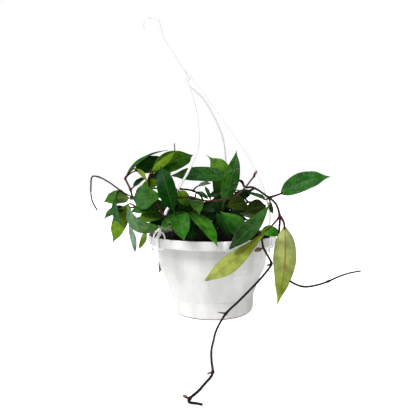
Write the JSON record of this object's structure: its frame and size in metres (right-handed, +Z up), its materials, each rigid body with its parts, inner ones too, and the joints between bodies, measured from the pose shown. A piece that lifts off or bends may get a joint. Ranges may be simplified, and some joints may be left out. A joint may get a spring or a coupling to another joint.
{
  "type": "potted hoya pubicalyx in a hanging basket",
  "caption": "Trailing wax plant with pointed leaves and bare vines in a round white hanging basket with clip-on hanger and saucer.",
  "frame": {"origin": "middle of the saucer's flat underside, on the basket's axis", "axes": "+Z up along the basket's axis, -Y towards the front of the plant, +X to the right seen from the front"},
  "size_m": [0.3852, 0.4642, 0.4632],
  "materials": {
    "basket_plastic": "white moulded polypropylene, soft gloss",
    "hanger_plastic": "white moulded polypropylene, soft gloss",
    "potting_mix": "damp black peat and bark chips",
    "foliage": "waxy dark green leaves with silver flecks",
    "vine_stem": "brown-purple bark of a thin vine"
  },
  "bodies": {
    "root": {"pot": "basket_plastic", "saucer": "basket_plastic", "potting_mix": "potting_mix", "hanger_hook": "hanger_plastic", "hanger_leg_left": "hanger_plastic", "hanger_leg_right": "hanger_plastic", "hanger_leg_back": "hanger_plastic", "vine_left": "foliage", "vine_left_low": "foliage", "vine_runner": "foliage", "vine_front": "foliage", "vine_centre": "foliage", "vine_top": "foliage", "vine_upright": "foliage", "vine_crown": "foliage", "vine_inner": "foliage", "vine_right_arch": "foliage", "vine_right_low": "foliage", "vine_floor": "vine_stem", "vine_back_left": "foliage", "vine_back_right": "foliage"}
  },
  "joints": []
}
